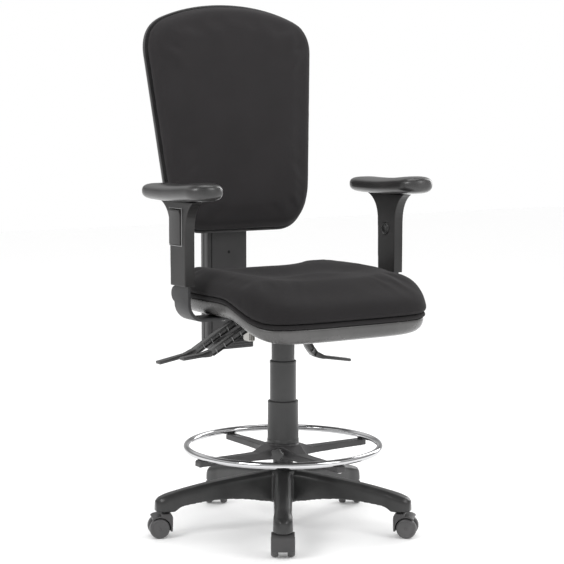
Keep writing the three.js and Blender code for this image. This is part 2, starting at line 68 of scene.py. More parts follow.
def placed(name, data):
    """A new object in the scene with this data."""
    piece = bpy.data.objects.new(name, data)
    bpy.context.collection.objects.link(piece)
    return piece


camera = placed("studio_camera", lens)
camera.location = column - eye_distance * away + Vector((0, 0, eye_height))
camera.rotation_euler = (math.pi / 2 - look_down, 0, view_turn)
bpy.context.scene.camera = camera

floor_mesh = bpy.data.meshes.new("studio_floor")
reach = 9
corners = [(-reach, -reach, 0), (reach, -reach, 0), (reach, reach, 0), (-reach, reach, 0)]
floor_mesh.from_pydata(corners, [], [(0, 1, 2, 3)])
floor = placed("studio_floor", floor_mesh)
floor_paint = bpy.data.materials.new("floor_white")
floor_paint.use_nodes = True
floor_shader = floor_paint.node_tree.nodes["Principled BSDF"]
floor_shader.inputs["Base Color"].default_value = (0.92, 0.92, 0.92, 1)
floor_shader.inputs["Roughness"].default_value = 0.9
floor_shader.inputs["Emission Color"].default_value = (1, 1, 1, 1)
floor_shader.inputs["Emission Strength"].default_value = 0.09
floor_mesh.materials.append(floor_paint)

world = bpy.data.worlds.new("studio_world")
bpy.context.scene.world = world
world.use_nodes = True
bpy.context.scene.view_settings.view_transform = "Standard"


def link(tree, source, output, target, socket):
    tree.links.new(source.outputs[output], target.inputs[socket])


def add(tree, kind, values=None, **settings):
    """A new node, with its settings and then the values of its sockets."""
    made = tree.nodes.new(kind)
    for key, value in settings.items():
        setattr(made, key, value)
    for socket, value in (values or {}).items():
        made.inputs[socket].default_value = value
    return made


def ramp(tree, *stops):
    """A colour ramp from (place, colour) pairs."""
    made = add(tree, "ShaderNodeValToRGB")
    for k, (place, color) in enumerate(stops):
        stop = made.color_ramp.elements[k] if k < 2 else made.color_ramp.elements.new(place)
        stop.position = place
        stop.color = (*color, 1)
    return made


room = world.node_tree
lit = room.nodes["Background"]
rays = add(room, "ShaderNodeLightPath")
heading = add(room, "ShaderNodeTexCoord")
parts = add(room, "ShaderNodeSeparateXYZ")
link(room, heading, "Generated", parts, "Vector")
glimpses = (
    (0.0, 0.62), (0.05, 0.52), (0.12, 0.48), (0.30, 0.26), (0.46, 0.78), (0.60, 0.78),
    (0.74, 0.12), (1.0, 0.10),
)
ceiling = ramp(room, *[(place, (tone, tone, tone)) for place, tone in glimpses])
link(room, parts, "Z", ceiling, "Fac")
choice = add(room, "ShaderNodeMix", {6: (1, 1, 1, 1)}, data_type="RGBA")
link(room, rays, "Is Glossy Ray", choice, 0)
link(room, ceiling, "Color", choice, 7)
room.links.new(choice.outputs[2], lit.inputs["Color"])
lit.inputs["Strength"].default_value = 1.0


def soft_box(name, side, depth, height, size, power, aim_height=0.6):
    light = bpy.data.lights.new(name, "AREA")
    light.shape = "RECTANGLE"
    light.size, light.size_y = size
    light.energy = power
    lamp = placed(name, light)
    lamp.location = column + side * across + depth * away + Vector((0, 0, height))
    aim = column + Vector((0, 0, aim_height)) - lamp.location
    lamp.rotation_euler = aim.to_track_quat("-Z", "Y").to_euler()


soft_box("key_box", -2.2, -2.2, 3.0, (1.4, 1.4), 46)
soft_box("fill_box", 2.6, -1.6, 2.2, (1.2, 2.0), 26)
soft_box("top_box", 0.2, 0.4, 3.4, (1.8, 1.8), 22)
soft_box("edge_box", 2.0, 2.4, 1.8, (1.0, 2.2), 26)

# --------------------------------------------------
# Star base: one glass-filled nylon moulding. The mould gives it soft edges and a fine grain; the
# creases on top of the legs are lightened as a painted highlight. The gas lift's tube is pressed
# into its hub.
# --------------------------------------------------
def node_paint(name):
    """A new material with its node tree and its shader."""
    paint = bpy.data.materials.new(name)
    paint.use_nodes = True
    return paint, paint.node_tree, paint.node_tree.nodes["Principled BSDF"]


def roughen(tree, source, output, shader, strength, distance):
    """Raises a shader's surface by a pattern."""
    bump = add(tree, "ShaderNodeBump", {"Strength": strength, "Distance": distance})
    link(tree, source, output, bump, "Height")
    link(tree, bump, "Normal", shader, "Normal")


def moulded(name, dark, light, roughness, grain=900.0, depth=0.25, edge_glint=0.35, glint_lift=0.02):
    """Grained plastic: two close tones in broad clouds, a leathery mould grain, and sharp edges
    lightened as a painted highlight.
    """
    paint, tree, shader = node_paint(name)
    place = add(tree, "ShaderNodeTexCoord")
    cloud = add(tree, "ShaderNodeTexNoise", {"Scale": 14, "Detail": 5})
    link(tree, place, "Object", cloud, "Vector")
    tone = ramp(tree, (0.35, dark), (0.7, light))
    link(tree, cloud, "Fac", tone, "Fac")
    # Where the surface is sharply convex the colour is lifted towards a much lighter tone: a
    # painted highlight along the edges.
    edge = add(tree, "ShaderNodeNewGeometry")
    glint_mask = add(tree, "ShaderNodeMapRange", {"From Min": 0.52, "From Max": 0.62, "To Max": edge_glint})
    link(tree, edge, "Pointiness", glint_mask, "Value")
    glinted = add(tree, "ShaderNodeMix", {
        7: (*[min(1.0, 2.4 * c + glint_lift) for c in light], 1),
    }, data_type="RGBA")
    link(tree, glint_mask, "Result", glinted, 0)
    link(tree, tone, "Color", glinted, 6)
    tree.links.new(glinted.outputs[2], shader.inputs["Base Color"])
    sheen = add(tree, "ShaderNodeMapRange", {
        "To Min": roughness - 0.06,
        "To Max": roughness + 0.08,
    })
    link(tree, cloud, "Fac", sheen, "Value")
    link(tree, sheen, "Result", shader, "Roughness")
    pebble = add(tree, "ShaderNodeTexVoronoi", {"Scale": grain})
    link(tree, place, "Object", pebble, "Vector")
    roughen(tree, pebble, "Distance", shader, depth, 0.0002)
    shader.inputs["Specular IOR Level"].default_value = 0.45
    return paint


def finish_mesh(name, mesh, paint, body, slot, angle=32):
    """Shades a finished mesh, gives it its one material and rides it on its body."""
    mesh.name = name
    mesh.polygons.foreach_set("use_smooth", [True] * len(mesh.polygons))
    mesh.set_sharp_from_angle(angle=math.radians(angle))
    mesh.materials.clear()
    mesh.materials.append(paint)
    mesh.polygons.foreach_set("material_index", [0] * len(mesh.polygons))
    piece = placed(name, mesh)
    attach(piece, body)
    return piece


def baked(piece):
    """The mesh of an object with its modifiers applied; the object itself is removed."""
    bpy.context.view_layer.update()
    ready = piece.evaluated_get(bpy.context.evaluated_depsgraph_get())
    mesh = bpy.data.meshes.new_from_object(ready)
    bpy.data.objects.remove(piece, do_unlink=True)
    return mesh


def merged_copy(node):
    shape = bmesh.new()
    shape.from_mesh(frame["nodes"][node].data)
    bmesh.ops.remove_doubles(shape, verts=shape.verts, dist=0.00002)
    return shape


def eased(mesh, radius, steps=3, angle=28):
    """A mesh whose edges are rounded, by a radius in millimetres."""
    piece = placed("eased", mesh)
    rounding = piece.modifiers.new("rounding", "BEVEL")
    rounding.width = radius / 1000
    rounding.segments = steps
    rounding.limit_method = "ANGLE"
    rounding.angle_limit = math.radians(angle)
    return baked(piece)


def softened(node, radius, steps=3):
    """A copy of a CAD node with its crisp edges eased, as a mould or a press leaves them."""
    shape = merged_copy(node)
    bmesh.ops.dissolve_limit(
        shape, angle_limit=math.radians(1), verts=shape.verts, edges=shape.edges
    )
    mesh = bpy.data.meshes.new(node + "_soft")
    shape.to_mesh(mesh)
    shape.free()
    return eased(mesh, radius, steps)


record = frame["record"]
bodies = record["behaviour"]["bodies"]
body_of = {node: body for body, nodes in bodies.items() for node in nodes}
slot_of = {part["node"]: part["material_slot"] for part in record["subparts"]}


def remade(node, mesh, paint, angle=32):
    """Puts a finer mesh in a CAD node's place."""
    piece = finish_mesh(node + "_piece", mesh, paint, body_of[node], slot_of[node], angle)
    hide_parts(node)
    return piece


def turned(profile, segments=96):
    """A closed turned body from (radius, height) pairs in millimetres, about its own Z axis."""
    shape = bmesh.new()
    rings = []
    for radius, height in profile:
        if radius == 0:
            rings.append([shape.verts.new((0, 0, height / 1000))] * segments)
            continue
        rings.append([
            shape.verts.new((
                radius / 1000 * math.cos(2 * math.pi * i / segments),
                radius / 1000 * math.sin(2 * math.pi * i / segments),
                height / 1000,
            ))
            for i in range(segments)
        ])
    for low, high in zip(rings, rings[1:] + rings[:1]):
        if low is high:
            continue
        for i in range(segments):
            j = (i + 1) % segments
            corners = list(dict.fromkeys([low[i], low[j], high[j], high[i]]))
            if len(corners) > 2:
                shape.faces.new(corners)
    return shape


def rounded(points, radius, steps=4, closed=True):
    """The same outline with every corner rounded, as far as its two sides have room."""
    out = []
    count = len(points)
    for i, here in enumerate(points):
        here = Vector(here)
        if not closed and i in (0, count - 1):
            out.append(tuple(here))
            continue
        before, after = Vector(points[i - 1]), Vector(points[(i + 1) % count])
        room = min(radius, (before - here).length * 0.45, (after - here).length * 0.45)
        start = here + (before - here).normalized() * room
        end = here + (after - here).normalized() * room
        for k in range(steps + 1):
            t = k / steps
            out.append(tuple(start * (1 - t) ** 2 + here * 2 * t * (1 - t) + end * t ** 2))
    return out


def to_mesh(shape, *moves):
    """Turns a working mesh into a finished one, outwards faces and all, moved into place."""
    for move in moves:
        bmesh.ops.transform(shape, matrix=move, verts=shape.verts)
    bmesh.ops.recalc_face_normals(shape, faces=shape.faces)
    mesh = bpy.data.meshes.new("shape")
    shape.to_mesh(mesh)
    shape.free()
    return mesh


def united(*meshes):
    """Several closed shells of one moulding as one mesh."""
    shape = bmesh.new()
    for mesh in meshes:
        shape.from_mesh(mesh)
        bpy.data.meshes.remove(mesh)
    mesh = bpy.data.meshes.new("united")
    shape.to_mesh(mesh)
    shape.free()
    return mesh


def at_column(x=0.0, y=0.0, z=0.0):
    return Matrix.Translation(column + Vector((x, y, z)) / 1000)


def cast(mesh, voxel, passes):
    """Runs the joins of a moulding into each other, with every edge slightly rounded."""
    piece = placed("casting", mesh)
    even = piece.modifiers.new("even", "REMESH")
    even.mode = "VOXEL"
    even.voxel_size = voxel
    relax = piece.modifiers.new("relax", "SMOOTH")
    relax.factor = 0.5
    relax.iterations = passes
    return baked(piece)


def plain_copy(node):
    shape = merged_copy(node)
    mesh = bpy.data.meshes.new(node + "_copy")
    shape.to_mesh(mesh)
    shape.free()
    return mesh


def arc(a, b, c, steps=20):
    """Even steps from a to c, drawn towards b on the way."""
    shares = [k / steps for k in range(steps + 1)]
    return [a * (1 - t) ** 2 + b * 2 * t * (1 - t) + c * t * t for t in shares]


def smoothstep(x, low, high):
    t = min(max((x - low) / (high - low), 0), 1)
    return t * t * (3 - 2 * t)


def base_leg(steps=60):
    """One arched leg along -Y: crowned on top between two creases, open along the underside."""
    shape = bmesh.new()
    rows = []
    for k in range(steps + 1):
        r = 29 + 297.5 * k / steps
        top = 147 if r < 40 else float(np.interp(
            r, arc(40, 210, 300) + [318, 327], arc(147, 130, 105) + [98, 90]
        ))
        under = float(np.interp(
            r, [29, 60] + arc(60, 150, 262)[1:] + [274, 281, 327],
            [72, 74] + arc(74, 95, 75)[1:] + [70, 63.5, 63.5],
        ))
        wide = 23.5 - 2.5 * (r - 29) / 271 + 2.5 * smoothstep(r, 262, 290)
        if r > 303:
            wide *= math.sqrt(max(1 - ((r - 303) / 26) ** 2, 0.02))
        hollow = (top - under - 9) * smoothstep(r, 50, 62) * (1 - smoothstep(r, 262, 268))
        half = [
            (wide - 5, under + hollow), (wide - 4, under), (wide - 1.2, under), (wide, under + 2.5),
            (wide - 0.8, top - 15), (wide - 2.4, top - 8.5), (wide * 0.70, top - 4.6),
            (wide * 0.62, top - 1.6), (wide * 0.34, top - 0.3),
        ]
        section = half + [(-x, z) for x, z in reversed(half)]
        rows.append([shape.verts.new((x / 1000, -r / 1000, z / 1000)) for x, z in section])
    count = len(rows[0])
    for one, two in zip(rows, rows[1:]):
        for i in range(count):
            shape.faces.new((one[i], one[(i + 1) % count], two[(i + 1) % count], two[i]))
    shape.faces.new(rows[0])
    shape.faces.new(reversed(rows[-1]))
    return shape


base_nylon = moulded("base_nylon", (0.022, 0.022, 0.022), (0.036, 0.036, 0.036), 0.30)
turn = math.radians(72)
first = at_column() @ Matrix.Rotation(math.radians(-33), 4, "Z")
moulding = [to_mesh(base_leg(), first @ Matrix.Rotation(i * turn, 4, "Z")) for i in range(5)]
moulding.append(to_mesh(turned([
    (25.6, 68), (37, 68), (38.5, 100), (38, 140), (36.6, 146), (34, 149), (29, 149.6), (25.6, 149),
]), at_column()))
remade("star_base", cast(united(*moulding), 0.0021, 5), base_nylon, 60)


# --------------------------------------------------
# Casters: twin dished wheels of satin nylon on a steel axle under a moulded hood. Each clips
# into its leg with a zinc-plated stem, and trails where the chair last rolled.
# --------------------------------------------------
def metal(name, color, roughness, scratch=0.15, stretch=(1, 1, 1), grain=220.0, metallic=1.0):
    """Bare or lacquered metal with drawn scratches and a cloudy roughness."""
    paint, tree, shader = node_paint(name)
    shader.inputs["Metallic"].default_value = metallic
    place = add(tree, "ShaderNodeTexCoord")
    squeeze = add(tree, "ShaderNodeMapping", {"Scale": stretch})
    link(tree, place, "Object", squeeze, "Vector")
    streak = add(tree, "ShaderNodeTexNoise", {"Scale": grain, "Detail": 6})
    link(tree, squeeze, "Vector", streak, "Vector")
    cloud = add(tree, "ShaderNodeTexNoise", {"Scale": 18})
    link(tree, place, "Object", cloud, "Vector")
    tone = add(tree, "ShaderNodeMix", {
        6: (*[0.82 * c for c in color], 1),
        7: (*color, 1),
    }, data_type="RGBA")
    link(tree, cloud, "Fac", tone, 0)
    tree.links.new(tone.outputs[2], shader.inputs["Base Color"])
    shine = add(tree, "ShaderNodeMapRange", {
        "To Min": roughness * 0.75,
        "To Max": roughness * 1.35,
    })
    link(tree, streak, "Fac", shine, "Value")
    link(tree, shine, "Result", shader, "Roughness")
    roughen(tree, streak, "Fac", shader, scratch, 0.0001)
    return paint


hood_nylon = moulded("hood_nylon", (0.040, 0.039, 0.040), (0.058, 0.056, 0.057), 0.38)
wheel_nylon = moulded(
    "wheel_nylon", (0.055, 0.054, 0.055), (0.085, 0.083, 0.084), 0.36, grain=700, edge_glint=0.2
)
zinc = metal("zinc_plate", (0.62, 0.61, 0.58), 0.28, stretch=(1, 1, 6))


def wheel_body(hand):
    """One wheel: a rounded tread, a raised rim, a dished face and a hub cap."""
    outline = rounded([
        (3.35, 10.5), (22, 10.5), (24.8, 13), (25, 22), (23.4, 26.6), (20.6, 28.4), (18.6, 28.2),
        (17.4, 27.3), (6, 27.9), (3.35, 28.2),
    ], 1.8, 4)
    shape = turned(outline, 72)
    face = turned(rounded([(0, 26), (3.3, 26), (3.3, 27.8), (0, 28.1)], 0.5, 3, closed=False), 32)
    aside = Matrix.Rotation(hand * math.pi / 2, 4, "Y")
    return united(to_mesh(shape, aside), to_mesh(face, aside))


legs = 5
stem_reach = 299
trails = [180, 78, 180, 180, -78]
for i in range(legs):
    name = f"caster_{i + 1}"
    leg_turn = Matrix.Rotation(math.radians(72 * i - 33), 4, "Z")
    own_turn = Matrix.Rotation(math.radians(trails[i] - 72 * i), 4, "Z")
    stand = at_column() @ leg_turn @ Matrix.Translation((0, -stem_reach / 1000, 0)) @ own_turn
    for side, hand in (("left", -1), ("right", 1)):
        mesh = wheel_body(hand)
        mesh.transform(stand @ Matrix.Translation((0, -0.019, 0.025)))
        remade(f"{name}_wheel_{side}", mesh, wheel_nylon)
    remade(f"{name}_hood", cast(plain_copy(f"{name}_hood"), 0.0011, 9), hood_nylon, 60)
    remade(f"{name}_stem", softened(f"{name}_stem", 0.4, 2), zinc)
    remade(f"{name}_axle", softened(f"{name}_axle", 0.4, 2), zinc)

# --------------------------------------------------
# Gas lift and its covers: a black-lacquered steel tube and a sliding cylinder, hidden by three
# satin polypropylene sleeves that telescope, each with a rolled lip.
# --------------------------------------------------
cover_plastic = moulded(
    "cover_plastic", (0.030, 0.030, 0.030), (0.042, 0.042, 0.042), 0.34, grain=1200, depth=0.15
)
lift_steel = metal("lift_steel", (0.045, 0.045, 0.046), 0.3, metallic=0.6, stretch=(1, 1, 0.1))
piston_chrome = metal("piston_chrome", (0.80, 0.80, 0.81), 0.09, scratch=0.05)

sleeves = {
    "column_cover_lower": [
        (35.5, 216.4), (39.5, 216.4), (39.4, 224), (38.6, 225.4), (37.6, 314), (38.0, 315.6),
        (37.9, 319.2), (37.2, 320), (33.2, 320), (33.2, 317), (35.5, 313),
    ],
    "column_cover_middle": [
        (29.6, 285), (32.6, 285), (32.3, 412), (32.9, 413.6), (32.8, 419.2), (32.2, 420),
        (29.6, 420),
    ],
    "column_cover_upper": [
        (26.2, 350), (28.6, 350), (28.3, 470), (29.0, 472), (28.9, 480.4), (28.2, 481.6),
        (26.2, 481.6),
    ],
}
for node, profile in sleeves.items():
    remade(node, to_mesh(turned(rounded(profile, 0.9, 3), 128), at_column()), cover_plastic, 40)
for node in ("gas_lift_tube", "gas_lift_cylinder"):
    remade(node, softened(node, 1, 2), lift_steel)
remade("gas_lift_rod", softened("gas_lift_rod", 0.6, 2), piston_chrome)

# --------------------------------------------------
# Foot ring: bright chromed steel tube, screwed from below to four flat nylon spokes. Their hub
# clamps the gas-lift tube, tightened by a lobed hand knob.
# --------------------------------------------------
chrome = metal("ring_chrome", (0.66, 0.66, 0.67), 0.06, scratch=0.03, grain=60)
ring_radius, tube_radius, ring_height = 0.2395, 0.00825, 0.206
around = bmesh.new()
turns, facets = 288, 32
rows = []
for i in range(turns):
    a = 2 * math.pi * i / turns
    row = []
    for k in range(facets):
        b = 2 * math.pi * k / facets
        out = ring_radius + tube_radius * math.cos(b)
        spot = (out * math.cos(a), out * math.sin(a), ring_height + tube_radius * math.sin(b))
        row.append(around.verts.new(spot))
    rows.append(row)
for i in range(turns):
    for k in range(facets):
        near, far = rows[i], rows[(i + 1) % turns]
        around.faces.new((near[k], far[k], far[(k + 1) % facets], near[(k + 1) % facets]))
remade("foot_ring", to_mesh(around, at_column()), chrome, 60)
spoke_nylon = moulded("spoke_nylon", (0.034, 0.033, 0.034), (0.050, 0.049, 0.050), 0.36)
remade("foot_ring_spider", cast(plain_copy("foot_ring_spider"), 0.0016, 5), spoke_nylon, 60)
remade("foot_ring_knob", softened("foot_ring_knob", 2.5, 4), moulded(
    "knob_nylon", (0.03, 0.03, 0.03), (0.045, 0.044, 0.045), 0.22, edge_glint=0.5), 40)


def scatter_group(name, sizes, shape, along):
    """Geometry Nodes that set a shape on every vertex, turned along its 'axis' vector."""
    group = bpy.data.node_groups.new(name, "GeometryNodeTree")
    for label, kind in (("Geometry", "Geometry"), *sizes, ("Finish", "Material")):
        group.interface.new_socket(label, in_out="INPUT", socket_type="NodeSocket" + kind)
    group.interface.new_socket("Geometry", in_out="OUTPUT", socket_type="NodeSocketGeometry")
    into = add(group, "NodeGroupInput")
    out = add(group, "NodeGroupOutput")
    made, output = shape(group, into)
    axis = add(group, "GeometryNodeInputNamedAttribute", {"Name": "axis"}, data_type="FLOAT_VECTOR")
    align = add(group, "FunctionNodeAlignRotationToVector", axis=along)
    link(group, axis, "Attribute", align, "Vector")
    place = add(group, "GeometryNodeInstanceOnPoints")
    link(group, into, "Geometry", place, "Points")
    link(group, made, output, place, "Instance")
    link(group, align, "Rotation", place, "Rotation")
    real = add(group, "GeometryNodeRealizeInstances")
    link(group, place, "Instances", real, "Geometry")
    finish = add(group, "GeometryNodeSetMaterial")
    link(group, real, "Geometry", finish, "Geometry")
    link(group, into, "Finish", finish, "Material")
    link(group, finish, "Geometry", out, "Geometry")
    return group


def screw_head(group, into):
    """A low dome with a hexagon socket."""
    dome = add(group, "GeometryNodeMeshUVSphere", {"Segments": 32, "Rings": 16})
    link(group, into, "Head radius", dome, "Radius")
    share = add(group, "ShaderNodeMath", operation="DIVIDE")
    link(group, into, "Head height", share, 0)
    link(group, into, "Head radius", share, 1)
    squash = add(group, "ShaderNodeCombineXYZ", {"X": 1, "Y": 1})
    link(group, share, "Value", squash, "Z")
    flat = add(group, "GeometryNodeTransform")
    link(group, dome, "Mesh", flat, "Geometry")
    link(group, squash, "Vector", flat, "Scale")
    half = add(group, "ShaderNodeMath", {1: 0.5}, operation="MULTIPLY")
    link(group, into, "Head radius", half, 0)
    socket = add(group, "GeometryNodeMeshCylinder", {"Vertices": 6})
    link(group, half, "Value", socket, "Radius")
    link(group, into, "Head height", socket, "Depth")
    lift = add(group, "ShaderNodeCombineXYZ")
    link(group, into, "Head height", lift, "Z")
    raised = add(group, "GeometryNodeTransform")
    link(group, socket, "Mesh", raised, "Geometry")
    link(group, lift, "Vector", raised, "Translation")
    carve = add(group, "GeometryNodeMeshBoolean", operation="DIFFERENCE")
    link(group, flat, "Geometry", carve, "Mesh 1")
    link(group, raised, "Geometry", carve, "Mesh 2")
    return carve, "Mesh"


def spread(name, group, points, directions, paint, body, slot, **sizes):
    """Runs a node group over some points and keeps the result as one plain piece."""
    seeds = bpy.data.meshes.new(name + "_points")
    seeds.from_pydata([tuple(p) for p in points], [], [])
    axes = seeds.attributes.new("axis", "FLOAT_VECTOR", "POINT")
    axes.data.foreach_set("vector", [v for d in directions for v in d])
    piece = placed(name + "_points", seeds)
    maker = piece.modifiers.new("maker", "NODES")
    maker.node_group = group
    for item in group.interface.items_tree:
        if item.in_out == "INPUT" and item.name in sizes:
            maker[item.identifier] = sizes[item.name]
        if item.in_out == "INPUT" and item.name == "Finish":
            maker[item.identifier] = paint
    return finish_mesh(name, baked(piece), paint, body, slot, 40)


screws = scatter_group(
    "round_head_screws", (("Head radius", "Float"), ("Head height", "Float")), screw_head, "Z"
)
spoke_turns = [-33 + t for t in (-56, 34, 124, 214)]
screw_steel = metal("screw_steel", (0.72, 0.72, 0.71), 0.2)
ring_points = []
for turn in spoke_turns:
    a = math.radians(turn)
    aside = ring_radius * Vector((math.sin(a), -math.cos(a), 0))
    ring_points.append(column + aside + Vector((0, 0, 0.1812)))
spread(
    "ring_screws", screws, ring_points, [(0, 0, -1)] * 4, screw_steel, "ring", "zinc_plate",
    **{"Head radius": 0.0052, "Head height": 0.0026},
)

# --------------------------------------------------
# Mechanism: a black-lacquered pressed-steel housing clamped on the gas lift, pivot pins, a
# zinc-plated clutch pack, and a powder-coated steel seat plate with folded lugs.
# --------------------------------------------------
powder_black = moulded(
    "powder_black", (0.018, 0.018, 0.019), (0.028, 0.028, 0.029), 0.42, grain=1500, depth=0.35
)
remade("mechanism_housing", cast(plain_copy("mechanism_housing"), 0.0018, 4), powder_black, 60)
remade("seat_plate", softened("seat_plate", 0.9, 3), powder_black)
for node in ("seat_tilt_pin", "recline_pin"):
    remade(node, softened(node, 1.2, 3), zinc)

def block(size, middle):
    """A plain box of a given size about its middle."""
    shape = bmesh.new()
    bmesh.ops.create_cube(shape, size=1)
    bmesh.ops.scale(shape, vec=size, verts=shape.verts)
    bmesh.ops.translate(shape, vec=middle, verts=shape.verts)
    return to_mesh(shape)


plates = []
for i in range(7):
    size = (0.0021, 0.031, 0.084) if i % 2 else (0.0021, 0.0275, 0.078)
    plates.append(block(size, (0.0026 * i - 0.04985, 0.079, 0.5026)))
remade("recline_friction_pack", eased(united(*plates), 0.6, 2), metal(
    "clutch_steel", (0.42, 0.41, 0.39), 0.3, stretch=(1, 6, 1)
))

# --------------------------------------------------
# Control levers: glass-filled nylon channel arms with cross ribs, open towards the front, that
# end in flat finger paddles. Each turns on a short boss beside the housing.
# --------------------------------------------------
def strip(path, low, high, y):
    """A bar along an (x, z) path, from one offset of it to another, between two y values."""
    shape = bmesh.new()
    rows = []
    for i, here in enumerate(path):
        before, after = path[max(i - 1, 0)], path[min(i + 1, len(path) - 1)]
        run = (Vector(after) - Vector(before)).normalized()
        t = i / (len(path) - 1)
        side = Vector((-run.y, run.x))
        near = Vector(here) + side * (low(t) if callable(low) else low)
        far = Vector(here) + side * (high(t) if callable(high) else high)
        rows.append([
            shape.verts.new((p.x / 1000, v / 1000, p.y / 1000))
            for p, v in ((near, y[0]), (far, y[0]), (far, y[1]), (near, y[1]))
        ])
    for one, two in zip(rows, rows[1:]):
        for k in range(4):
            shape.faces.new((one[k], two[k], two[(k + 1) % 4], one[(k + 1) % 4]))
    shape.faces.new(rows[0])
    shape.faces.new(reversed(rows[-1]))
    return shape


def flat_rib(group, into):
    """A thin rib, as long as its size says."""
    rib = add(group, "GeometryNodeMeshCube")
    link(group, into, "Rib size", rib, "Size")
    return rib, "Mesh"


ribs = scatter_group("cross_ribs", (("Rib size", "Vector"),), flat_rib, "X")
# Strongly lightened edges: a painted highlight along the ribs and paddles.
lever_nylon = moulded(
    "lever_nylon", (0.012, 0.012, 0.012), (0.022, 0.022, 0.022),
    0.2, grain=1100, edge_glint=0.9, glint_lift=0.2
)
cy = column.y * 1000
levers = {
    "lever_seat_height": (
        [(-60, 512), (-90, 501), (-150, 469), (-188, 449), (-208, 446), (-270, 441)],
        (22 + cy, 44 + cy), (-64, -51),
    ),
    "lever_back_angle": (
        [(-60, 519), (-90, 505), (-150, 472), (-196, 446), (-216, 440), (-300, 426)],
        (85 + cy, 107 + cy), (-66, -57),
    ),
    "lever_seat_tilt": (
        [(59, 508), (70, 485), (80, 450), (98, 428), (120, 418), (206, 403)],
        (-2 + cy, 20 + cy), (51, 64),
    ),
}
for node, (corners, span, root) in levers.items():
    arm = rounded(corners[:4], 16, 6, closed=False)
    tip = rounded(corners[3:], 14, 6, closed=False)
    web = eased(to_mesh(strip(arm, -7, 7, (span[0] + 5, span[1]))), 0.6, 2)
    flanges = [
        eased(to_mesh(strip(arm, low, high, span)), 0.7, 2)
        for low, high in ((-7.5, -5.8), (5.8, 7.5))
    ]
    paddle = eased(to_mesh(strip(
        tip, lambda t: -7.5 + 3.5 * t, lambda t: 7.5 - 3.5 * t, span
    )), 3.2, 4)
    root_turn = Matrix.Rotation(math.pi / 2, 4, "Y")
    boss = turned(rounded([(0, root[0]), (7, root[0]), (7, root[1]), (0, root[1])], 0.8, 3), 48)
    middle = (span[0] + span[1]) / 2000
    root_at = Matrix.Translation((0, middle, corners[0][1] / 1000))
    remade(
        node, united(web, *flanges, paddle, to_mesh(boss, root_turn, root_at)), lever_nylon, 40
    )
    lengths = [0]
    for one, two in zip(arm, arm[1:]):
        lengths.append(lengths[-1] + (Vector(two) - Vector(one)).length)
    spots, runs = [], []
    for k in range(1, int(lengths[-1] // 26) + 1):
        reach = k * 26
        i = max(j for j in range(len(arm)) if lengths[j] <= reach)
        run = (Vector(arm[i + 1]) - Vector(arm[i])).normalized()
        spot = Vector(arm[i]) + run * (reach - lengths[i])
        spots.append((spot.x / 1000, (span[0] + 3.6) / 1000, spot.y / 1000))
        runs.append((run.x, 0, run.y))
    spread(
        node + "_ribs", ribs, spots, runs, lever_nylon, body_of[node], slot_of[node],
        **{"Rib size": (0.0016, 0.0062, 0.0120)},
    )

# --------------------------------------------------
# Seat pan: one injection-moulded polypropylene tray under the seat, lighter grey than the rest,
# with a rolled lip that the upholstery sits in. It is screwed to the plywood above it.
# --------------------------------------------------
def smooth_steps(points, steps):
    """A smooth curve through the points, with the same number of steps between each pair."""
    pts = [np.array(p, float) for p in points]
    pts = [2 * pts[0] - pts[1], *pts, 2 * pts[-1] - pts[-2]]
    out = []
    for a, b, c, d in zip(pts, pts[1:], pts[2:], pts[3:]):
        for k in range(steps):
            t = k / steps
            out.append(0.5 * (
                2 * b + (c - a) * t + (2 * a - 5 * b + 4 * c - d) * t * t
                + (3 * b - a - 3 * c + d) * t ** 3
            ))
    return [*out, pts[-2]]


def skinned(rings, start, end):
    """Skins a stack of equal rings of points and closes both ends with a pole."""
    shape = bmesh.new()
    rows = [[shape.verts.new(tuple(p)) for p in ring] for ring in rings]
    count = len(rows[0])
    poles = [shape.verts.new(tuple(start)), shape.verts.new(tuple(end))]
    for i in range(count):
        j = (i + 1) % count
        for low, high in zip(rows, rows[1:]):
            shape.faces.new((low[i], low[j], high[j], high[i]))
        shape.faces.new((poles[0], rows[0][j], rows[0][i]))
        shape.faces.new((poles[1], rows[-1][i], rows[-1][j]))
    return shape


seat_half_x = 255
seat_mid, seat_half_y = (-327 + 186) / 2, (327 + 186) / 2


def seat_ring(inset, height, count=224):
    ring = []
    for i in range(count):
        a = 2 * math.pi * (i + 0.5) / count
        c, s = math.cos(a), math.sin(a)
        x = math.copysign(abs(c) ** 0.42, c) * (seat_half_x - inset)
        y = seat_mid + math.copysign(abs(s) ** 0.42, s) * (seat_half_y - inset)
        ring.append(Vector((x, y + cy, height(x, y))) / 1000)
    return ring


def seat_rim(y):
    return 588 - 46 * smoothstep(-y, 110, 290)


shell_plastic = moulded(
    "shell_plastic", (0.066, 0.065, 0.064), (0.090, 0.088, 0.087),
    0.26, grain=1000, depth=0.3, edge_glint=0.25
)
pan_profile = smooth_steps([
    (160, -38), (100, -38.5), (52, -38.5), (36, -37.2), (22, -32), (12.5, -22), (8.6, -11),
    (8, -4.5),
    (9, -1.4), (11.5, -0.9), (14, -2), (16, -9), (30, -9.5), (148, -14),
], 4)
pan_rings = [
    seat_ring(inset, lambda x, y, drop=drop, inset=inset: (
        550 + (seat_rim(y) + drop - 550) * smoothstep(160 - inset, 0, 60)
        if drop < -36 else seat_rim(y) + drop
    ))
    for inset, drop in pan_profile
]
pan = skinned(
    pan_rings, Vector((0, seat_mid + cy, 550)) / 1000, Vector((0, seat_mid + cy, 574)) / 1000
)
remade("seat_shell", to_mesh(pan), shell_plastic, 60)

